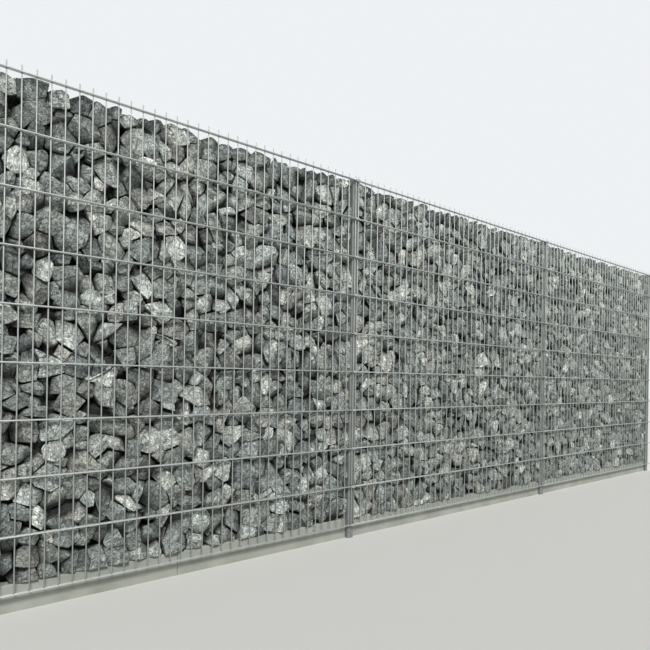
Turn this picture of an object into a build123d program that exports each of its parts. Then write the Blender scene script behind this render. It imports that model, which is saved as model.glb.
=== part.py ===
from build123d import *
import os

# A gabion fence wall of three bays: welded wire mats are held on both faces of flat steel posts
# of closed section, concrete kerb boards close the foot, and broken stone fills the space between
# the mats.
# The wall runs along +X and its front face looks along -Y.
# The origin is at ground level, in the middle of the left end post.

# Bays and posts
bay_count = 3
post_width = 40.0
post_depth = 200.0
post_wall = 4.0
post_corner = 8.0
post_above_top_rod = 10.0
cap_thickness = 3.0
cap_chamfer = 1.0

# Mats: upright wires with a horizontal rod in front of them and one behind at each level
wire_count = 41
wire_pitch = 50.0
wire_size = 5.0
mat_joint = 20.0
rod_count = 10
rod_pitch = 200.0
rod_size = 6.0
rod_overhang = 6.0
first_rod_height = 70.0
tip_above_top_rod = 25.0

# Clips that hold the mats' rods against the posts
clip_width = 30.0
clip_height = 12.0
clip_thickness = 2.5
clip_corner = 2.0
clip_shank = 6.0

# Kerb boards
kerb_above_first_rod = 28.0
kerb_thickness = 50.0
kerb_setback = 20.0
kerb_chamfer = 4.0
kerb_joint = 3.0
kerbs_per_bay = 2

# Stone fill
fill_below_top_rod = 15.0

# Clearance between pieces that are only laid or slid into place
clearance = 0.3

# Levels and planes worked out from the sizes above
top_rod_height = first_rod_height + (rod_count - 1) * rod_pitch
tip_height = top_rod_height + tip_above_top_rod
post_height = top_rod_height + post_above_top_rod
fill_top = top_rod_height - fill_below_top_rod
mat_width = (wire_count - 1) * wire_pitch
bay_pitch = mat_width + mat_joint
rod_length = mat_width + 2 * rod_overhang
mat_start = mat_joint / 2
post_face = post_depth / 2
wire_foot = first_rod_height - rod_size / 2
kerb_height = first_rod_height + kerb_above_first_rod

# Distances from the middle plane of the wall to the layers of a mat
inner_rod_plane = post_face + rod_size / 2
wire_plane = post_face + rod_size + clearance + wire_size / 2
outer_rod_plane = wire_plane + wire_size / 2 + rod_size / 2
clip_back = outer_rod_plane + rod_size / 2

os.makedirs("parts", exist_ok=True)


def finish(part, name):
    """Label a finished piece and write it to its own file."""
    part.label = name
    export_step(part, "parts/" + name + ".step")


# Posts: a rectangular tube with rounded corners and a closed foot, under a flat cap
with BuildPart() as post:
    with BuildSketch(Plane.XY):
        RectangleRounded(post_width, post_depth, post_corner)
    extrude(amount=post_height - cap_thickness)
    offset(amount=-post_wall, openings=post.faces().sort_by(Axis.Z)[-1])

with BuildPart() as cap:
    with BuildSketch(Plane.XY.offset(post_height - cap_thickness)):
        RectangleRounded(post_width, post_depth, post_corner)
    extrude(amount=cap_thickness)
    chamfer(cap.edges().group_by(Axis.Z)[-1], cap_chamfer)

for number in range(bay_count + 1):
    along = Location((number * bay_pitch, 0, 0))
    finish(post.part.moved(along), f"post_{number + 1}")
    finish(cap.part.moved(along), f"post_cap_{number + 1}")


# One mat of the front face, for the first bay: wires welded to the outer rods as one lattice
with BuildPart() as mat:
    with BuildSketch(Plane.XY.offset(wire_foot)):
        with Locations((mat_start + mat_width / 2, -wire_plane)):
            with GridLocations(wire_pitch, 0, wire_count, 1):
                Rectangle(wire_size, wire_size)
    extrude(amount=tip_height - wire_foot)
    with BuildSketch(Plane.YZ.offset(mat_start - rod_overhang)):
        with Locations((-outer_rod_plane, (first_rod_height + top_rod_height) / 2)):
            with GridLocations(0, rod_pitch, 1, rod_count):
                Rectangle(rod_size, rod_size)
    extrude(amount=rod_length)
    # the inner rods lie against the posts, behind the wires
    with BuildSketch(Plane.YZ.offset(mat_start - rod_overhang)):
        with Locations((-inner_rod_plane, (first_rod_height + top_rod_height) / 2)):
            with GridLocations(0, rod_pitch, 1, rod_count):
                Rectangle(rod_size, rod_size)
    extrude(amount=rod_length)

# The back mats are the same mat turned half round about the middle of its bay
turned_mat = mat.part.rotate(Axis((bay_pitch / 2, 0, 0), (0, 0, 1)), 180)

for number in range(bay_count):
    along = Location((number * bay_pitch, 0, 0))
    finish(mat.part.moved(along), f"front_mat_{number + 1}")
    finish(turned_mat.moved(along), f"rear_mat_{number + 1}")


# Clips: a small plate over the rod ends of two mats, with a shank through the gap to the post
with BuildPart() as clips:
    with BuildSketch(Plane.XZ.offset(post_face)):
        with Locations((0, (first_rod_height + top_rod_height) / 2)):
            with GridLocations(0, rod_pitch, 1, rod_count):
                Rectangle(clip_shank, clip_shank)
    extrude(amount=clip_back - post_face)
    with BuildSketch(Plane.XZ.offset(clip_back)) as plates:
        with Locations((0, (first_rod_height + top_rod_height) / 2)):
            with GridLocations(0, rod_pitch, 1, rod_count):
                Rectangle(clip_width, clip_height)
        chamfer(plates.vertices(), clip_corner)
    extrude(amount=clip_thickness)

turned_clips = clips.part.rotate(Axis.Z, 180)

for number in range(bay_count + 1):
    along = Location((number * bay_pitch, 0, 0))
    finish(clips.part.moved(along), f"front_clips_{number + 1}")
    finish(turned_clips.moved(along), f"rear_clips_{number + 1}")


# Kerb boards: chamfered concrete boards on edge, standing between the sides of the posts
clear_bay = bay_pitch - post_width - 2 * kerb_joint
kerb_length = (clear_bay - (kerbs_per_bay - 1) * kerb_joint) / kerbs_per_bay
kerb_start = post_width / 2 + kerb_joint
kerb_outer = post_face - kerb_setback
kerb_inner = kerb_outer - kerb_thickness

with BuildPart() as kerb:
    with BuildSketch(Plane.YZ.offset(kerb_start)):
        with Locations((-(kerb_outer + kerb_inner) / 2, kerb_height / 2)):
            Rectangle(kerb_thickness, kerb_height)
    extrude(amount=kerb_length)
    chamfer(kerb.edges().filter_by(Axis.X).group_by(Axis.Z)[-1], kerb_chamfer)

turned_kerb = kerb.part.mirror(Plane.XZ)

for number in range(bay_count * kerbs_per_bay):
    bay, place = divmod(number, kerbs_per_bay)
    along = Location((bay * bay_pitch + place * (kerb_length + kerb_joint), 0, 0))
    finish(kerb.part.moved(along), f"front_kerb_{number + 1}")
    finish(turned_kerb.moved(along), f"rear_kerb_{number + 1}")


# Stone fill of one bay: it stands on the kerbs between the sides of two posts, and goes down to
# the ground between the front and the back kerbs
fill_width = bay_pitch - post_width - 2 * clearance

with BuildPart() as fill:
    with BuildSketch(Plane.XY.offset(kerb_height)):
        with Locations((bay_pitch / 2, 0)):
            Rectangle(fill_width, post_depth - 2 * clearance)
    extrude(amount=fill_top - kerb_height)
    with BuildSketch(Plane.XY):
        with Locations((bay_pitch / 2, 0)):
            Rectangle(fill_width, 2 * (kerb_inner - clearance))
    extrude(amount=kerb_height)

for number in range(bay_count):
    finish(fill.part.moved(Location((number * bay_pitch, 0, 0))), f"stone_fill_{number + 1}")
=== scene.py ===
import bpy
import numpy as np
from mathutils import Matrix, Vector


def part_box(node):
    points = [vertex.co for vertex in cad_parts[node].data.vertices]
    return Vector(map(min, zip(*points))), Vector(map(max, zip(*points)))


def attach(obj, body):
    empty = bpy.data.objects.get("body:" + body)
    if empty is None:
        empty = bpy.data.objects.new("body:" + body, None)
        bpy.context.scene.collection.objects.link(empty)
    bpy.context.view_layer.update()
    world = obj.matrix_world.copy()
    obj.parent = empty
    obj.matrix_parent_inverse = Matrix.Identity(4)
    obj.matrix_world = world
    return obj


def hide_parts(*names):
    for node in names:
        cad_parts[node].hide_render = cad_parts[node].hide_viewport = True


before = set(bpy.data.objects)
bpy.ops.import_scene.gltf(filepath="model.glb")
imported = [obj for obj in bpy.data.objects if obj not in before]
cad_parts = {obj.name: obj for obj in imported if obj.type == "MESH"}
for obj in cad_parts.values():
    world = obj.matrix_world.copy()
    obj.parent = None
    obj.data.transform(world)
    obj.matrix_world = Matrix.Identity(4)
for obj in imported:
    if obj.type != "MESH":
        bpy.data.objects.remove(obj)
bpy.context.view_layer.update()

# The setting: a pale floor at ground level, soft light from all round, a broad sun in front of the
# wall on its left, a weaker and lower one behind, and a camera near the wall's left end.
photo_side = 650
focal_pixels = 632.4
horizon_row = 379.1
sensor_width = 36.0
camera_place = Vector((-0.351, -2.424, 0.8295))
camera_right = Vector((0.7310, -0.6822, 0.0161))
camera_up = Vector((-0.0118, 0.0110, 0.9999))

camera_data = bpy.data.cameras.new("camera")
camera_data.sensor_width = sensor_width
camera_data.lens = focal_pixels / photo_side * sensor_width
camera_data.shift_y = (horizon_row - photo_side / 2) / photo_side
camera = bpy.data.objects.new("camera", camera_data)
camera_back = camera_right.cross(camera_up)
axes = Matrix((camera_right, camera_up, camera_back)).transposed()
camera.matrix_world = Matrix.Translation(camera_place) @ axes.to_4x4()
bpy.context.scene.collection.objects.link(camera)
bpy.context.scene.camera = camera
bpy.context.scene.view_settings.view_transform = "Standard"


def soft_sun(name, toward, strength, width, colour):
    """A sun lamp that stands in the given direction, as broad in the sky as its width in radians."""
    data = bpy.data.lights.new(name, "SUN")
    data.energy = strength
    data.angle = width
    data.color = colour
    lamp = bpy.data.objects.new(name, data)
    lamp.matrix_world = Vector(toward).to_track_quat("Z", "Y").to_matrix().to_4x4()
    bpy.context.scene.collection.objects.link(lamp)


soft_sun("front_sun", toward=(-0.40, -0.80, 0.80), strength=3.4, width=0.22, colour=(1.0, 0.98, 0.94))
soft_sun("rear_sun", toward=(0.35, 0.90, 0.35), strength=2.0, width=0.35, colour=(1.0, 0.98, 0.95))

sky_colour = (0.84, 0.91, 1.0, 1)
sky_strength = 0.27
backdrop_colour = (0.86, 0.88, 0.90, 1)
backdrop_strength = 1.0
world = bpy.data.worlds.new("studio")
world.use_nodes = True
bpy.context.scene.world = world
world_nodes = world.node_tree.nodes
world_links = world.node_tree.links
soft_light = world_nodes["Background"]
soft_light.inputs["Color"].default_value = sky_colour
soft_light.inputs["Strength"].default_value = sky_strength
seen_light = world_nodes.new("ShaderNodeBackground")
seen_light.inputs["Color"].default_value = backdrop_colour
seen_light.inputs["Strength"].default_value = backdrop_strength

# the camera, and rays off or through shiny pieces, see the backdrop and not the sky
light_path = world_nodes.new("ShaderNodeLightPath")
seen_ray = light_path.outputs["Is Camera Ray"]
for other_ray in ("Is Glossy Ray", "Is Transmission Ray"):
    either = world_nodes.new("ShaderNodeMath")
    either.operation = "MAXIMUM"
    world_links.new(seen_ray, either.inputs[0])
    world_links.new(light_path.outputs[other_ray], either.inputs[1])
    seen_ray = either.outputs["Value"]
world_choice = world_nodes.new("ShaderNodeMixShader")
world_links.new(seen_ray, world_choice.inputs["Fac"])
world_links.new(soft_light.outputs["Background"], world_choice.inputs[1])
world_links.new(seen_light.outputs["Background"], world_choice.inputs[2])
world_links.new(world_choice.outputs["Shader"], world_nodes["World Output"].inputs["Surface"])

floor_reach = 40.0
floor_colour = (0.62, 0.62, 0.60, 1)
floor_roughness = 0.9
floor_mesh = bpy.data.meshes.new("floor")
floor_corners = np.array([[-1, -1, 0], [1, -1, 0], [1, 1, 0], [-1, 1, 0]]) * floor_reach
floor_mesh.from_pydata(floor_corners.tolist(), [], [(0, 1, 2, 3)])
floor = bpy.data.objects.new("floor", floor_mesh)
bpy.context.scene.collection.objects.link(floor)
floor_finish = bpy.data.materials.new("floor")
floor_finish.use_nodes = True
floor_shader = floor_finish.node_tree.nodes["Principled BSDF"]
floor_shader.inputs["Base Color"].default_value = floor_colour
floor_shader.inputs["Roughness"].default_value = floor_roughness
floor_mesh.materials.append(floor_finish)


# The posts are flat steel tubes with welded caps, hot-dip galvanised after welding, so their skin
# is a dull grey of faint crystals with darker clouds. They stand in footings below the ground.
def add_node(material, kind, settings=None, **inputs):
    """One node of the given kind, with plain settings and with its input sockets set or linked by name."""
    made = material.node_tree.nodes.new(kind)
    for name, value in (settings or {}).items():
        setattr(made, name, value)
    for name, value in inputs.items():
        socket = made.inputs[name.replace("_", " ")]
        if isinstance(value, bpy.types.NodeSocket):
            material.node_tree.links.new(value, socket)
        else:
            socket.default_value = value
    return made


def new_finish(name, roughness, metallic=0.0):
    """An empty procedural material: its shader, and the place on the object that drives its patterns."""
    material = bpy.data.materials.new(name)
    material.use_nodes = True
    shader = material.node_tree.nodes["Principled BSDF"]
    shader.inputs["Roughness"].default_value = roughness
    shader.inputs["Metallic"].default_value = metallic
    place = add_node(material, "ShaderNodeTexCoord").outputs["Object"]
    return material, shader, place


def colour_steps(material, factor, steps):
    """A colour that runs through the given (position, colour) steps as the factor goes from 0 to 1."""
    ramp = add_node(material, "ShaderNodeValToRGB", Fac=factor)
    elements = ramp.color_ramp.elements
    while len(elements) < len(steps):
        elements.new(0.5)
    for element, (position, colour) in zip(elements, steps):
        element.position = position
        element.color = (*colour, 1)
    return ramp.outputs["Color"]


cloud_share = 0.55
darkest_at = 0.2
lightest_at = 0.8
grain_height = 0.0006


def galvanised(name, dark, light, roughness, metallic, crystal_scale):
    """Zinc skin: crystals of slightly different greys, from a cell pattern, clouded by a slow noise."""
    material, shader, place = new_finish(name, roughness, metallic)
    crystals = add_node(material, "ShaderNodeTexVoronoi", Vector=place, Scale=crystal_scale)
    clouds = add_node(material, "ShaderNodeTexNoise", Vector=place, Scale=9.0, Detail=4.0)
    shade = add_node(material, "ShaderNodeMix", {"data_type": "FLOAT"}, Factor=cloud_share)
    material.node_tree.links.new(crystals.outputs["Color"], shade.inputs["A"])
    material.node_tree.links.new(clouds.outputs["Fac"], shade.inputs["B"])
    colour = colour_steps(material, shade.outputs["Result"], [(darkest_at, dark), (lightest_at, light)])
    material.node_tree.links.new(colour, shader.inputs["Base Color"])
    grain = add_node(material, "ShaderNodeTexNoise", Vector=place, Scale=420.0, Detail=3.0)
    bump = add_node(material, "ShaderNodeBump", Height=grain.outputs["Fac"], Strength=0.25,
                    Distance=grain_height)
    material.node_tree.links.new(bump.outputs["Normal"], shader.inputs["Normal"])
    return material


post_skin = galvanised("post_skin", dark=(0.155, 0.165, 0.16), light=(0.245, 0.258, 0.248),
                       roughness=0.6, metallic=0.3, crystal_scale=95.0)
for name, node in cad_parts.items():
    if name.startswith("post_"):
        node.data.materials.clear()
        node.data.materials.append(post_skin)


# The mats are drawn steel wires, each upright welded at every level between two rods, and
# galvanised after welding. The uprights end in cut tips above the top rod.
def new_piece(name, points, faces, material):
    """A mesh object at the origin, from an array of points and arrays of faces.

    Each array of faces holds faces with the same number of corners."""
    mesh = bpy.data.meshes.new(name)
    mesh.vertices.add(len(points))
    mesh.vertices.foreach_set("co", np.asarray(points, np.float32).ravel())
    sizes = np.concatenate([np.full(len(group), group.shape[1]) for group in faces])
    starts = np.concatenate([[0], np.cumsum(sizes)[:-1]])
    mesh.loops.add(int(sizes.sum()))
    corners = np.concatenate([group.ravel() for group in faces])
    mesh.loops.foreach_set("vertex_index", corners.astype(np.int32))
    mesh.polygons.add(len(sizes))
    mesh.polygons.foreach_set("loop_start", starts.astype(np.int32))
    mesh.update(calc_edges=True)
    mesh.validate()
    mesh.materials.append(material)
    piece = bpy.data.objects.new(name, mesh)
    bpy.context.scene.collection.objects.link(piece)
    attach(piece, "root")
    return piece


def skinned(points):
    """Closed skins over rings of points, from an array of skins, rings, sides and coordinates.

    Each ring is joined to the next by four-sided faces, and the first and the last ring are capped."""
    number, rings, sides = points.shape[:3]
    index = np.arange(number * rings * sides).reshape(number, rings, sides)
    following = np.roll(index, -1, axis=2)
    walls = np.stack([index[:, :-1], following[:, :-1], following[:, 1:], index[:, 1:]], axis=-1)
    caps = np.concatenate([index[:, 0, ::-1], index[:, -1]])
    return points.reshape(-1, 3), [walls.reshape(-1, 4), caps]


nearly_upright = 0.9


def round_bars(starts, ends, radius, sides=10, tip=0.0008):
    """Bars from starts to ends: a circle carried along each, drawn in by the tip at both ends and capped.

    A ring point is the bar's axis point plus the radius times cosine and sine of its angle along
    the two directions square to the bar."""
    along = ends - starts
    length = np.linalg.norm(along, axis=1, keepdims=True)
    along = along / length
    upright = np.abs(along[:, 2:]) > nearly_upright
    side = np.cross(along, np.where(upright, [[0.0, 1.0, 0.0]], [[0.0, 0.0, 1.0]]))
    side /= np.linalg.norm(side, axis=1, keepdims=True)
    over = np.cross(along, side)
    reach = np.stack([0 * length, 0 * length + tip, length - tip, length], axis=1)
    girth = np.array([radius - tip, radius, radius, radius - tip])[None, :, None, None]
    turn = np.arange(sides) * 2 * np.pi / sides
    ring = np.cos(turn)[None, :, None] * side[:, None] + np.sin(turn)[None, :, None] * over[:, None]
    centres = starts[:, None] + reach * along[:, None]
    return skinned(centres[:, :, None] + girth * ring[:, None])


def joined(*shapes):
    """Several (points, faces) shapes as one, each with its faces renumbered past the points before it."""
    points = np.concatenate([shape[0] for shape in shapes])
    offsets = np.cumsum([0] + [len(shape[0]) for shape in shapes[:-1]])
    faces = [group + offset for shape, offset in zip(shapes, offsets) for group in shape[1]]
    return points, faces


bay_count = sum(name.startswith("stone_fill_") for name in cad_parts)
wire_count = 41
wire_pitch = 0.05
wire_radius = 0.0025
rod_radius = 0.003
first_rod_height = 0.07
rod_pitch = 0.2
rod_count = 10
rod_levels = first_rod_height + rod_pitch * np.arange(rod_count)
sharp_angle = 0.8

# the welds sink each rod this far towards the wires
rod_setting = 0.0005
mat_skin = galvanised("mat_skin", dark=(0.31, 0.34, 0.33), light=(0.46, 0.495, 0.48),
                      roughness=0.5, metallic=0.3, crystal_scale=160.0)

for face, outward in (("front", -1), ("rear", 1)):
    for number in range(1, bay_count + 1):
        low, high = (np.array(corner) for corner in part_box(f"{face}_mat_{number}"))
        inner, outer = sorted((abs(low[1]), abs(high[1])))
        wire_depth = outward * (outer - 2 * rod_radius - wire_radius)
        middle = (low[0] + high[0]) / 2
        across = middle + wire_pitch * (np.arange(wire_count) - (wire_count - 1) / 2)
        feet = np.stack([across, 0 * across + wire_depth, 0 * across + low[2]], axis=1)
        tips = feet + [0, 0, high[2] - low[2]]
        shapes = [round_bars(feet, tips, wire_radius)]
        for depth in (outer - rod_radius - rod_setting, inner + rod_radius + rod_setting):
            left = np.stack([0 * rod_levels + low[0], 0 * rod_levels + outward * depth, rod_levels], axis=1)
            shapes.append(round_bars(left, left + [high[0] - low[0], 0, 0], rod_radius))
        points, faces = joined(*shapes)
        mat = new_piece(f"{face}_mat_wires_{number}", points, faces, mat_skin)
        mat.data.shade_smooth()
        mat.data.set_sharp_from_angle(angle=sharp_angle)
        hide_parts(f"{face}_mat_{number}")


# The clips are small pressed plates with cut corners, galvanised like the mats. Each lies over the
# rod ends of two mats, and one bolt with a domed head draws it to the post.
post_count = bay_count + 1
clip_height = 0.012
clip_corner = 0.002
clip_thickness = 0.0012
clip_edge = 0.0003
bolt_radius = 0.003
head_radius = 0.004
dome_end = 0.94
clip_skin = galvanised("clip_skin", dark=(0.30, 0.325, 0.315), light=(0.44, 0.465, 0.455),
                       roughness=0.5, metallic=0.3, crystal_scale=200.0)


def stacked(centres, outward, outlines, rises):
    """Closed shapes that stand out from the wall's middle plane at centres, from outlines and their rises.

    A point is the centre plus the outline's two coordinates along X and against or along Z, so that
    the faces look out, plus its rise along Y."""
    depth = np.broadcast_to(outward * rises[:, None], outlines.shape[:2])
    rings = np.stack([outlines[..., 0], depth, -outward * outlines[..., 1]], axis=-1)
    return skinned(centres[:, None, None] + rings)


def cut_rectangle(across, up, corner):
    """A rectangle of the given half sides with its corners cut off: its eight points, anticlockwise."""
    side_x = np.array([1, 1, 1, -1, -1, -1, -1, 1])
    side_y = np.array([-1, 1, 1, 1, 1, -1, -1, -1])
    on_side = np.array([1, 1, 0, 0, 1, 1, 0, 0])
    return np.stack([side_x * (across - corner * (1 - on_side)), side_y * (up - corner * on_side)], axis=-1)


def domed_head(radius, height, sides=12, rings=4):
    """A bolt's head as circles, with their rises.

    A circle's radius goes by the cosine, and its rise by the sine, of an angle up to nearly 90 degrees."""
    angle = np.linspace(0, dome_end, rings) * np.pi / 2
    turn = np.arange(sides) * 2 * np.pi / sides
    circle = np.stack([np.cos(turn), np.sin(turn)], axis=-1)
    return radius * np.cos(angle)[:, None, None] * circle, height * np.sin(angle) / np.sin(angle[-1])


for face, outward in (("front", -1), ("rear", 1)):
    mat_face = np.abs(np.array(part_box(f"{face}_mat_1"))[:, 1]).max() - rod_setting
    for number in range(1, post_count + 1):
        low, high = (np.array(corner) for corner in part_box(f"{face}_clips_{number}"))
        shank_foot, head_top = sorted((abs(low[1]), abs(high[1])))
        middles = np.stack([0 * rod_levels + (low[0] + high[0]) / 2, 0 * rod_levels, rod_levels], axis=1)
        half_width = (high[0] - low[0]) / 2
        plate = np.stack([cut_rectangle(half_width - inset, clip_height / 2 - inset, clip_corner)
                          for inset in (0, 0, clip_edge)])
        plate_rises = mat_face + np.array([0, clip_thickness - clip_edge, clip_thickness])
        head, head_rises = domed_head(head_radius, head_top - mat_face - clip_thickness)
        shank_start = middles + [0, outward * shank_foot, 0]
        shank_end = middles + [0, outward * mat_face, 0]
        points, faces = joined(
            stacked(middles, outward, plate, plate_rises),
            stacked(middles, outward, head, mat_face + clip_thickness + head_rises),
            round_bars(shank_start, shank_end, bolt_radius))
        clips = new_piece(f"{face}_clip_plates_{number}", points, faces, clip_skin)
        clips.data.shade_smooth()
        clips.data.set_sharp_from_angle(angle=sharp_angle)
        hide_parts(f"{face}_clips_{number}")


# The kerb boards are smooth precast concrete, pale grey with a green cast, set on edge between
# the posts. The colour drifts slowly along each board, and fine sand shows in the surface.
def multiplied(material, first, second):
    """The product of two colours."""
    mix = add_node(material, "ShaderNodeMix", {"data_type": "RGBA", "blend_type": "MULTIPLY"})
    mix.inputs["Factor"].default_value = 1.0
    material.node_tree.links.new(first, mix.inputs[6])
    material.node_tree.links.new(second, mix.inputs[7])
    return mix.outputs[2]


kerb_skin, kerb_shader, kerb_place = new_finish("kerb_skin", 0.82)
kerb_clouds = add_node(kerb_skin, "ShaderNodeTexNoise", Vector=kerb_place, Scale=7.0, Detail=6.0)
kerb_pale = colour_steps(kerb_skin, kerb_clouds.outputs["Fac"],
                         [(0.3, (0.28, 0.295, 0.26)),
                          (0.5, (0.33, 0.345, 0.305)),
                          (0.7, (0.38, 0.395, 0.355))])
kerb_sand = add_node(kerb_skin, "ShaderNodeTexNoise", Vector=kerb_place, Scale=500.0, Detail=2.0)
kerb_speck = colour_steps(kerb_skin, kerb_sand.outputs["Fac"],
                          [(0.35, (0.82, 0.82, 0.82)), (0.6, (1, 1, 1))])
kerb_colour = multiplied(kerb_skin, kerb_pale, kerb_speck)
kerb_skin.node_tree.links.new(kerb_colour, kerb_shader.inputs["Base Color"])
kerb_pores = add_node(kerb_skin, "ShaderNodeBump", Height=kerb_sand.outputs["Fac"], Strength=0.3,
                      Distance=0.0008)
kerb_skin.node_tree.links.new(kerb_pores.outputs["Normal"], kerb_shader.inputs["Normal"])

for name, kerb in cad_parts.items():
    if "_kerb_" in name:
        kerb.data.materials.clear()
        kerb.data.materials.append(kerb_skin)


# The fill is broken granite, 40 to 140 mm a stone, tipped in between the mats and packed by
# hand at the faces. Every stone is a block of rough broken faces with worn edges. Neighbours
# share the space between them, less a joint that widens and narrows, with voids at the corners.
first_post = (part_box("post_1")[0][0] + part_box("post_1")[1][0]) / 2
last_post = (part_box(f"post_{post_count}")[0][0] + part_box(f"post_{post_count}")[1][0]) / 2
bay_pitch = (last_post - first_post) / bay_count
stone_spacing = np.array([0.075, 0.0665, 0.070])
least_reach = 0.016
fill_depth = 0.0995
post_side = 0.0205
kerb_top = 0.099
rod_top = rod_levels[-1]
planes_kept = 18
triples = np.array([(a, b, c) for a in range(planes_kept) for b in range(a) for c in range(b)])


def nearest(centres, number):
    """For each centre, the numbers of its nearest others.

    A distance's square is the sum of both centres' squared lengths less twice their product."""
    square = (centres ** 2).sum(axis=1)
    distance = square[:, None] + square[None] - 2 * centres @ centres.T
    np.fill_diagonal(distance, np.inf)
    return np.argpartition(distance, number, axis=1)[:, :number]


def reach_along(size, metric, direction):
    """How far ellipsoids reach from their middles along unit directions.

    That is the size over the square root of the direction measured twice by the metric."""
    return size / np.sqrt(np.einsum("nki,nkij,nkj->nk", direction, metric, direction))


lattice_shake = [1, 0.5, 1]
brick_offset = 0.5
smallest_size = 0.28
size_range = 0.42
axis_spread = 0.34
push_rounds = 18
pushing_neighbours = 14
push_share = 0.3


def scattered(rng, low, high, spacing):
    """Stone centres, sizes and metrics: a brick lattice shaken by its spacing, then pushed apart.

    A stone is at first an ellipsoid turned at random, whose half axes are its size times three
    factors with a product of one; its metric is the turn times the factors' inverse squares times
    the turn back. Two stones should lie as far apart as both reach towards each other, and each
    push moves a stone along the line from its neighbour by a share of what is lacking."""
    counts = np.maximum(np.round((high - low) / spacing), 1).astype(int)
    step = (high - low) / counts
    places = np.meshgrid(*[np.arange(count) for count in counts], indexing="ij")
    lattice = np.stack(places, axis=-1).reshape(-1, 3)
    shifted = lattice + 0.5 + rng.uniform(-0.5, 0.5, lattice.shape) * lattice_shake
    shifted[:, 0] += brick_offset * (lattice[:, 2] % 2) - brick_offset / 2
    centres = low + shifted * step
    size = spacing.mean() * (smallest_size + size_range * rng.random(len(centres)))
    factor = np.exp(rng.normal(0, axis_spread, (len(centres), 3)))
    factor /= factor.prod(axis=1, keepdims=True) ** (1 / 3)
    turn = np.linalg.qr(rng.normal(size=(len(centres), 3, 3)))[0]
    metric = turn @ (factor[:, :, None] ** -2 * turn.transpose(0, 2, 1))
    for _ in range(push_rounds):
        near = nearest(centres, pushing_neighbours)
        apart = centres[:, None] - centres[near]
        distance = np.linalg.norm(apart, axis=-1)
        toward = apart / distance[..., None]
        own = reach_along(size[:, None], metric[:, None], toward)
        wanted = own + reach_along(size[near], metric[near], toward)
        push = toward * np.clip(wanted - distance, 0, None)[..., None]
        centres = centres + push_share * push.sum(axis=1)
        centres = np.clip(centres, low + least_reach, high - least_reach)
    return centres, size, metric


sharing_neighbours = 26
share_limits = (0.25, 0.75)
plane_tilt = 0.09
half_joint = (0.0007, 0.0038)


def shared_planes(rng, centres, size, metric):
    """For each stone, the planes towards its nearest neighbours, as unit directions and distances.

    A plane divides the gap as the two stones' reaches towards each other, and it stands square to
    the line between them as the mean of their metrics measures it. Then each stone tilts its own
    plane a little and draws it in by its half of the joint."""
    near = nearest(centres, sharing_neighbours)
    apart = centres[near] - centres[:, None]
    gap = np.linalg.norm(apart, axis=-1)
    toward = apart / gap[..., None]
    own = reach_along(size[:, None], metric[:, None], toward)
    both = own + reach_along(size[near], metric[near], toward)
    share = gap * np.clip(own / both, *share_limits)
    square = np.einsum("nkij,nkj->nki", metric[:, None] + metric[near], toward)
    square /= np.linalg.norm(square, axis=-1, keepdims=True)
    square += rng.normal(0, plane_tilt, square.shape)
    square /= np.linalg.norm(square, axis=-1, keepdims=True)
    return square, share * (square * toward).sum(axis=-1) - rng.uniform(*half_joint, share.shape)


def limit_planes(centres, walls):
    """The flat limits that stones meet, such as a mat or a post's side, as directions and distances.

    Each wall is (axis, sign, place), and its distance is the way from a centre to the place."""
    directions = np.zeros((len(centres), len(walls), 3))
    distances = np.zeros((len(centres), len(walls)))
    for column, (axis, sign, place) in enumerate(walls):
        directions[:, column, axis] = sign
        distances[:, column] = sign * (place - centres[:, axis])
    return directions, distances


def working_planes(directions, distances, ray_count=260):
    """The planes that make a stone's surface: those that most rays of an even spread meet first.

    The rays turn by the golden angle as their height falls evenly from pole to pole."""
    height = 1 - 2 * (np.arange(ray_count) + 0.5) / ray_count
    turn = np.arange(ray_count) * np.pi * (3 - 5 ** 0.5)
    level = np.sqrt(1 - height ** 2)
    rays = np.stack([level * np.cos(turn), level * np.sin(turn), height], axis=-1).astype(np.float32)
    nearness = np.einsum("ri,npi->nrp", rays, (directions / distances[..., None]).astype(np.float32))
    met = nearness.argmax(axis=-1)
    number, plane_count = distances.shape
    numbered = met + plane_count * np.arange(number)[:, None]
    counts = np.bincount(numbered.ravel(), minlength=number * plane_count)
    kept = np.argsort(-counts.reshape(number, plane_count), axis=1)[:, :planes_kept]
    return (np.take_along_axis(directions, kept[..., None], axis=1),
            np.take_along_axis(distances, kept, axis=1))


least_volume = 1e-5
touching = 1e-8


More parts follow.
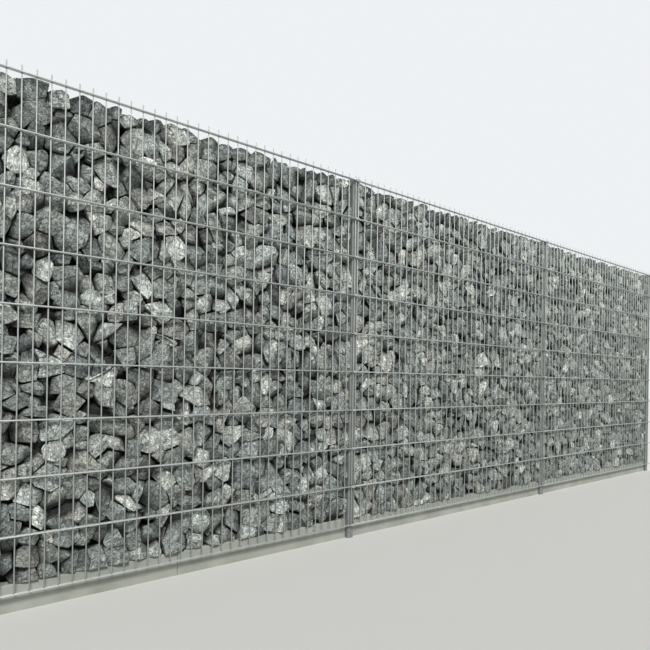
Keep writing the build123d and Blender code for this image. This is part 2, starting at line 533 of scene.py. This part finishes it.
def blocks(directions, distances):
    """The corner points of blocks that planes bound, ordered round each face.

    Three planes meet in a point, by Cramer's rule, and it is a corner where no other plane cuts it off.
    Round a face, the corners are sorted by their angle about its middle. Returned are the points, each
    corner's point and face, the faces' middles and directions, the first corner and the number of
    corners of each face in use, and which corner follows each one round its face."""
    normal = [directions[:, triples[:, k]] for k in range(3)]
    reach = [distances[:, triples[:, k], None] for k in range(3)]
    crossed = [np.cross(normal[k - 2], normal[k - 1]) for k in range(3)]
    volume = (normal[0] * crossed[0]).sum(axis=-1, keepdims=True)
    volume = np.where(np.abs(volume) < least_volume, np.nan, volume)
    meeting = sum(r * c for r, c in zip(reach, crossed)) / volume
    beyond = np.einsum("nti,npi->ntp", meeting, directions) - distances[:, None]
    stone, triple = np.nonzero(np.where(np.isnan(beyond), 1.0, beyond).max(axis=-1) < touching)
    points = meeting[stone, triple]
    face = stone[:, None] * planes_kept + triples[triple]
    per_face = np.bincount(face.ravel(), minlength=distances.size)
    face_total = (per_face.reshape(distances.shape) > 0).sum(axis=1)
    sound = np.bincount(stone, minlength=len(distances)) == 2 * (face_total - 2)
    keep = sound[stone]
    points, face, stone = points[keep], face[keep], stone[keep]
    corner_point = np.repeat(np.arange(len(points)), 3)
    corner_face = face.ravel()
    per_face = np.bincount(corner_face, minlength=distances.size)
    middle = np.stack([np.bincount(corner_face, points[corner_point, k], distances.size)
                       for k in range(3)], axis=-1)
    middle /= np.maximum(per_face, 1)[:, None]
    out = directions.reshape(-1, 3)
    upright = np.abs(out[:, 2:]) > nearly_upright
    side = np.cross(out, np.where(upright, [[1.0, 0.0, 0.0]], [[0.0, 0.0, 1.0]]))
    over = np.cross(out, side)
    arm = points[corner_point] - middle[corner_face]
    angle = np.arctan2((arm * over[corner_face]).sum(axis=1), (arm * side[corner_face]).sum(axis=1))
    order = np.lexsort((angle, corner_face))
    corner_point, corner_face = corner_point[order], corner_face[order]
    first = np.flatnonzero(np.diff(corner_face, prepend=-1))
    size = np.diff(np.append(first, len(corner_face)))
    following = np.arange(1, len(corner_face) + 1)
    following[first + size - 1] = first
    return points, corner_point, corner_face, middle, out, first, size, following


def flat_groups(first, size):
    """Faces that are runs of corners, gathered by how many corners they have."""
    return [first[size == count, None] + np.arange(count) for count in np.unique(size)]


largest_draw = 0.45
peak_slide = 0.28
peak_rise = (-0.16, 0.14)
no_length = 1e-12


def worn_blocks(rng, directions, distances, wear):
    """Blocks with worn edges and rough faces, as points, faces, each point's stone and its normal.

    Each face draws in towards its middle: a corner moves by the stone's wear, or nearly half way where
    the face is small. Along an edge, a strip joins the corners of the two faces, and at a point a
    triangle joins the three. Each face is a fan of triangles round a point that lies off its middle
    and is raised or sunk. A corner's normal is the mean of the fan's normals at it."""
    points, corner_point, corner_face, middle, out, first, size, following = blocks(directions, distances)
    corner = points[corner_point]
    arm = middle[corner_face] - corner
    length = np.linalg.norm(arm, axis=1)
    draw = np.minimum(wear[corner_face // planes_kept], largest_draw * length) / length
    moved = corner + draw[:, None] * arm
    total = len(points)
    along = corner_point * total + corner_point[following]
    against = corner_point[following] * total + corner_point
    ordered = np.argsort(along)
    partner = ordered[np.searchsorted(along[ordered], against)]
    once = np.flatnonzero(along < against)
    strips = np.stack([following[once], once, following[partner[once]], partner[once]], axis=-1)
    meet = np.argsort(corner_point, kind="stable").reshape(-1, 3)
    turned = np.linalg.det(out[corner_face[meet]]) < 0
    meet[turned] = meet[turned][:, ::-1]

    used = corner_face[first]
    radius = np.bincount(corner_face, length, len(out))[used] / size
    slide = rng.normal(size=(len(used), 3)) * peak_slide
    slide -= (slide * out[used]).sum(axis=1, keepdims=True) * out[used]
    rise = rng.uniform(*peak_rise, (len(used), 1))
    peaks = middle[used] + radius[:, None] * (slide + rise * out[used])
    number = np.arange(len(corner_face))
    peak_of = np.zeros(len(out), int)
    peak_of[used] = len(moved) + np.arange(len(used))
    fans = np.stack([number, following, peak_of[corner_face]], axis=-1)
    placed = np.concatenate([moved, peaks])
    fan_out = np.cross(placed[fans[:, 1]] - placed[fans[:, 0]], placed[fans[:, 2]] - placed[fans[:, 0]])
    fan_out /= np.maximum(np.linalg.norm(fan_out, axis=1, keepdims=True), no_length)
    normals = np.stack([np.bincount(fans.ravel(), np.repeat(fan_out[:, k], 3), len(placed))
                        for k in range(3)], axis=-1)
    normals /= np.linalg.norm(normals, axis=1, keepdims=True)
    stone = np.concatenate([corner_face, used]) // planes_kept
    return placed, [fans, strips, meet], stone, normals


def plain_blocks(directions, distances):
    """The same blocks with sharp edges, for stones inside the fill."""
    points, corner_point, corner_face, _, _, first, size, _ = blocks(directions, distances)
    stone = np.zeros(len(points), int)
    stone[corner_point] = corner_face // planes_kept
    return points, [corner_point[group] for group in flat_groups(first, size)], stone


bed_stretch = 1.7
# the painted shade in the joints: full within the first depth from the middle and below the first height
# under the top rod, gone beyond the second of each
painted_shade_within = 0.066
unshaded_beyond = 0.090
painted_shade_below_rod = 0.07
unshaded_below_rod = 0.02
deepest_painted_shade = 0.05
flat_scale = 42.0
flat_shake = 0.03
colour_middle = 0.5
chip_height = 0.0045

stone_skin, stone_shader, stone_place = new_finish("stone_skin", 0.88)
stone_link = stone_skin.node_tree.links.new
stone_tone = add_node(stone_skin, "ShaderNodeAttribute", {"attribute_name": "tone"}).outputs["Fac"]
stone_tint = add_node(stone_skin, "ShaderNodeAttribute", {"attribute_name": "tint"}).outputs["Fac"]
cool = colour_steps(stone_skin, stone_tone,
                    [(0.0, (0.10, 0.118, 0.118)), (0.5, (0.291, 0.335, 0.328)), (1.0, (0.70, 0.76, 0.73))])
warm = colour_steps(stone_skin, stone_tone,
                    [(0.0, (0.12, 0.122, 0.110)), (0.5, (0.330, 0.346, 0.315)), (1.0, (0.76, 0.77, 0.70))])
stone_base = add_node(stone_skin, "ShaderNodeMix", {"data_type": "RGBA"}, Factor=stone_tint)
stone_link(cool, stone_base.inputs[6])
stone_link(warm, stone_base.inputs[7])

# the grain is drawn out along the bed that each stone split from: the pattern's place moves along
# the bed's normal by a multiple of its own distance that way
bedding = add_node(stone_skin, "ShaderNodeAttribute", {"attribute_name": "bedding"}).outputs["Vector"]
across_bed = add_node(stone_skin, "ShaderNodeVectorMath", {"operation": "DOT_PRODUCT"})
stone_link(stone_place, across_bed.inputs[0])
stone_link(bedding, across_bed.inputs[1])
drawn_out = add_node(stone_skin, "ShaderNodeMath", {"operation": "MULTIPLY"})
stone_link(across_bed.outputs["Value"], drawn_out.inputs[0])
drawn_out.inputs[1].default_value = bed_stretch
bed_place = add_node(stone_skin, "ShaderNodeVectorMath", {"operation": "MULTIPLY_ADD"})
stone_link(bedding, bed_place.inputs[0])
stone_link(drawn_out.outputs["Value"], bed_place.inputs[1])
stone_link(stone_place, bed_place.inputs[2])
grains = add_node(stone_skin, "ShaderNodeTexNoise", Vector=bed_place.outputs["Vector"],
                  Scale=75.0, Detail=7.0, Roughness=0.8, Distortion=1.0)
speckle = colour_steps(stone_skin, grains.outputs["Fac"],
                       [(0.38, (0.24, 0.24, 0.26)), (0.5, (0.90, 0.90, 0.90)), (0.62, (1.95, 1.95, 1.9))])
patches = add_node(stone_skin, "ShaderNodeTexNoise", Vector=stone_place,
                   Scale=34.0, Detail=5.0, Distortion=1.5)
cloud = colour_steps(stone_skin, patches.outputs["Fac"],
                     [(0.3, (0.62, 0.62, 0.64)), (0.7, (1.25, 1.25, 1.22))])
speckled = multiplied(stone_skin, stone_base.outputs[2], multiplied(stone_skin, speckle, cloud))

# painted shade: the stones' colour darkens inwards from the two faces and from the top, as shade falls deep
# in the joints
inward = add_node(stone_skin, "ShaderNodeSeparateXYZ", Vector=stone_place)
from_middle = add_node(stone_skin, "ShaderNodeMath", {"operation": "ABSOLUTE"}, Value=inward.outputs["Y"])
side_shading = add_node(stone_skin, "ShaderNodeMapRange", Value=from_middle.outputs["Value"],
                    From_Min=painted_shade_within, From_Max=unshaded_beyond, To_Min=deepest_painted_shade)
top_shading = add_node(stone_skin, "ShaderNodeMapRange", Value=inward.outputs["Z"],
                   From_Min=rod_top - painted_shade_below_rod, From_Max=rod_top - unshaded_below_rod, To_Min=deepest_painted_shade)
painted_shading = add_node(stone_skin, "ShaderNodeMath", {"operation": "MAXIMUM"})
stone_link(side_shading.outputs["Result"], painted_shading.inputs[0])
stone_link(top_shading.outputs["Result"], painted_shading.inputs[1])
shaded_speckled = multiplied(stone_skin, speckled, painted_shading.outputs["Value"])

# each face is broken into flats about 25 mm across, with finer chips: a flat's height is the product
# of a lean drawn for its cell and the way from the cell's middle
wander = add_node(stone_skin, "ShaderNodeTexNoise", Vector=stone_place, Scale=40.0, Detail=3.0)
shaken = add_node(stone_skin, "ShaderNodeVectorMath", {"operation": "MULTIPLY_ADD"})
stone_link(wander.outputs["Color"], shaken.inputs[0])
shaken.inputs[1].default_value = (flat_shake,) * 3
stone_link(stone_place, shaken.inputs[2])
cells = add_node(stone_skin, "ShaderNodeTexVoronoi", Vector=shaken.outputs["Vector"], Scale=flat_scale)
arm = add_node(stone_skin, "ShaderNodeVectorMath", {"operation": "SUBTRACT"})
stone_link(shaken.outputs["Vector"], arm.inputs[0])
stone_link(cells.outputs["Position"], arm.inputs[1])
lean = add_node(stone_skin, "ShaderNodeVectorMath", {"operation": "SUBTRACT"},
                Vector=cells.outputs["Color"])
lean.inputs[1].default_value = (colour_middle,) * 3
flats = add_node(stone_skin, "ShaderNodeVectorMath", {"operation": "DOT_PRODUCT"})
stone_link(arm.outputs["Vector"], flats.inputs[0])
stone_link(lean.outputs["Vector"], flats.inputs[1])
flat_bump = add_node(stone_skin, "ShaderNodeBump", Height=flats.outputs["Value"],
                     Strength=1.0, Distance=1.0)
edges = add_node(stone_skin, "ShaderNodeTexVoronoi", {"feature": "DISTANCE_TO_EDGE"},
                 Vector=shaken.outputs["Vector"], Scale=flat_scale)
cracks = colour_steps(stone_skin, edges.outputs["Distance"], [(0.0, (0.34, 0.34, 0.34)), (0.06, (1, 1, 1))])
stone_link(multiplied(stone_skin, shaded_speckled, cracks), stone_shader.inputs["Base Color"])
chips = add_node(stone_skin, "ShaderNodeTexNoise", Vector=bed_place.outputs["Vector"],
                 Scale=70.0, Detail=7.0, Roughness=0.75)
stone_bump = add_node(stone_skin, "ShaderNodeBump", Height=chips.outputs["Fac"],
                      Strength=1.0, Distance=chip_height)
stone_link(flat_bump.outputs["Normal"], stone_bump.inputs["Normal"])
stone_link(stone_bump.outputs["Normal"], stone_shader.inputs["Normal"])


def stone_piece(name, points, faces, stone_of_point, tone, tint, bed, node):
    """One piece of stones, with each stone's tone, tint and bedding copied to all of its points."""
    stones = new_piece(name, points, faces, stone_skin)
    for attribute, values in (("tone", tone), ("tint", tint)):
        layer = stones.data.attributes.new(attribute, "FLOAT", "POINT")
        layer.data.foreach_set("value", values[stone_of_point].astype(np.float32))
    layer = stones.data.attributes.new("bedding", "FLOAT_VECTOR", "POINT")
    layer.data.foreach_set("vector", bed[stone_of_point].astype(np.float32).ravel())
    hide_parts(node)
    return stones


first_seed = 1000
middles_below_rod = 0.008
core_depth = 0.032
core_below_rod = 0.13
crown_below_rod = 0.095
mat_gap = 0.012
crown_gap = 0.001
crown_drop = 0.020
facet_count = 6
facet_share = (0.90, 1.34)
room_planes = 10
crown_lean = 0.4
crown_rise = 4.0
crown_unevenness = 0.006
facing_share = 0.87
core_facet_gain = 0.05
inward_limit = -0.2
core_overlap = 0.006
leaning_count = 3
leaning_spread = 0.28
mat_unevenness = 0.005
smallest_facet = 0.6
least_distance = 0.004
tone_mean = 0.52
tone_spread = 0.19
pale_gain = 0.35
pale_share = 0.06
tint_mean = 0.4
tint_spread = 0.3
wear_range = (0.0015, 0.0042)


def fill_bay(number):
    """The stones of one bay, from the kerbs to just under the top rod, as front, rear and core pieces.

    A facet lies as far out as the stone's ellipsoid reaches, times a random share, and a leaning face
    lies at the mat less a few random millimetres, times its direction's part towards the mat."""
    rng = np.random.default_rng(first_seed + number)
    left = first_post + (number - 1) * bay_pitch + post_side
    right = left + bay_pitch - 2 * post_side
    low = np.array([left, -fill_depth, kerb_top])
    high = np.array([right, fill_depth, rod_top - middles_below_rod])
    centres, size, metric = scattered(rng, low, high, stone_spacing)
    count = len(centres)
    inside = (np.abs(centres[:, 1]) < core_depth) & (centres[:, 2] < rod_top - core_below_rod)
    highest = centres[:, 2] > rod_top - crown_below_rod
    directions, distances = shared_planes(rng, centres, size, metric)
    depth = fill_depth - mat_gap * rng.random(count) ** 3
    top = rod_top - crown_gap - crown_drop * rng.random(count) ** 2
    top = np.maximum(top, centres[:, 2] + least_reach)
    to_depth = (depth - np.abs(centres[:, 1]))[:, None]
    outward = np.sign(centres[:, 1])[:, None]
    walls = [(0, -1, np.full(count, left)), (0, 1, np.full(count, right)), (1, -1, -depth), (1, 1, depth),
             (2, -1, np.full(count, kerb_top)), (2, 1, top)]
    limit_directions, limit_distances = limit_planes(centres, walls)

    # broken faces that the neighbours don't share: some cut corners off, some lean at the mat
    facets = rng.normal(size=(count, facet_count, 3))
    facets[highest, :, 1] = -crown_lean * outward[highest] * np.abs(facets[highest, :, 1])
    facets[highest, :, 2] = crown_rise
    facets /= np.linalg.norm(facets, axis=-1, keepdims=True)
    spread = np.linalg.inv(metric)
    room = np.maximum(size, np.sort(distances, axis=1)[:, :room_planes].mean(axis=1))
    facet_reach = room[:, None] * np.sqrt(np.einsum("nki,nij,nkj->nk", facets, spread, facets))
    facet_reach *= rng.uniform(*facet_share, (count, facet_count))
    facet_reach = np.maximum(facet_reach, facing_share * to_depth * (facets[:, :, 1] * outward))
    facet_reach[inside] += core_facet_gain
    to_top = (top - centres[:, 2])[highest, None]
    to_top = to_top - rng.uniform(0, crown_unevenness, (highest.sum(), facet_count))
    facet_reach[highest] = np.maximum(to_top * facets[highest, :, 2], smallest_facet * least_reach)
    inward_plane = directions[:, :, 1] * outward < inward_limit
    distances[inward_plane | inside[:, None]] += core_overlap
    leaning = rng.normal(size=(count, leaning_count, 3)) * leaning_spread
    leaning[:, :, 1] = outward
    leaning[highest, :, 2] = -np.abs(leaning[highest, :, 2])
    leaning /= np.linalg.norm(leaning, axis=-1, keepdims=True)
    to_mat = to_depth - rng.uniform(0.0, mat_unevenness, (count, leaning_count))
    leaning_reach = np.maximum(to_mat * np.abs(leaning[:, :, 1]), smallest_facet * least_reach)
    directions = np.concatenate([directions, limit_directions, facets, leaning], axis=1)
    distances = np.concatenate([distances, limit_distances, facet_reach, leaning_reach], axis=1)
    directions, distances = working_planes(directions, np.maximum(distances, least_distance))

    # a few stones are far paler than the rest
    tone = rng.normal(tone_mean, tone_spread, count) + pale_gain * (rng.random(count) < pale_share)
    tone = np.clip(tone, 0, 1)
    tint = np.clip(rng.normal(tint_mean, tint_spread, count), 0, 1)
    wear = rng.uniform(*wear_range, count)
    bed = np.linalg.eigh(metric)[1][:, :, 2]
    shown = {"front": ~inside & (centres[:, 1] < 0), "rear": ~inside & (centres[:, 1] >= 0)}
    distances = distances + (directions * centres[:, None]).sum(axis=-1)
    for face, chosen in shown.items():
        points, faces, stone, normals = worn_blocks(
            rng, directions[chosen], distances[chosen], wear[chosen])
        points = np.clip(points, low, [right, fill_depth, rod_top])
        stones = stone_piece(f"{face}_stones_{number}", points, faces, stone, tone[chosen], tint[chosen],
                             bed[chosen], f"stone_fill_{number}")
        stones.data.shade_smooth()
        stones.data.normals_split_custom_set_from_vertices(normals.tolist())
    points, faces, stone = plain_blocks(directions[inside], distances[inside])
    stone_piece(f"core_stones_{number}", points, faces, stone, tone[inside], tint[inside], bed[inside],
                f"stone_fill_{number}")


for number in range(1, bay_count + 1):
    fill_bay(number)
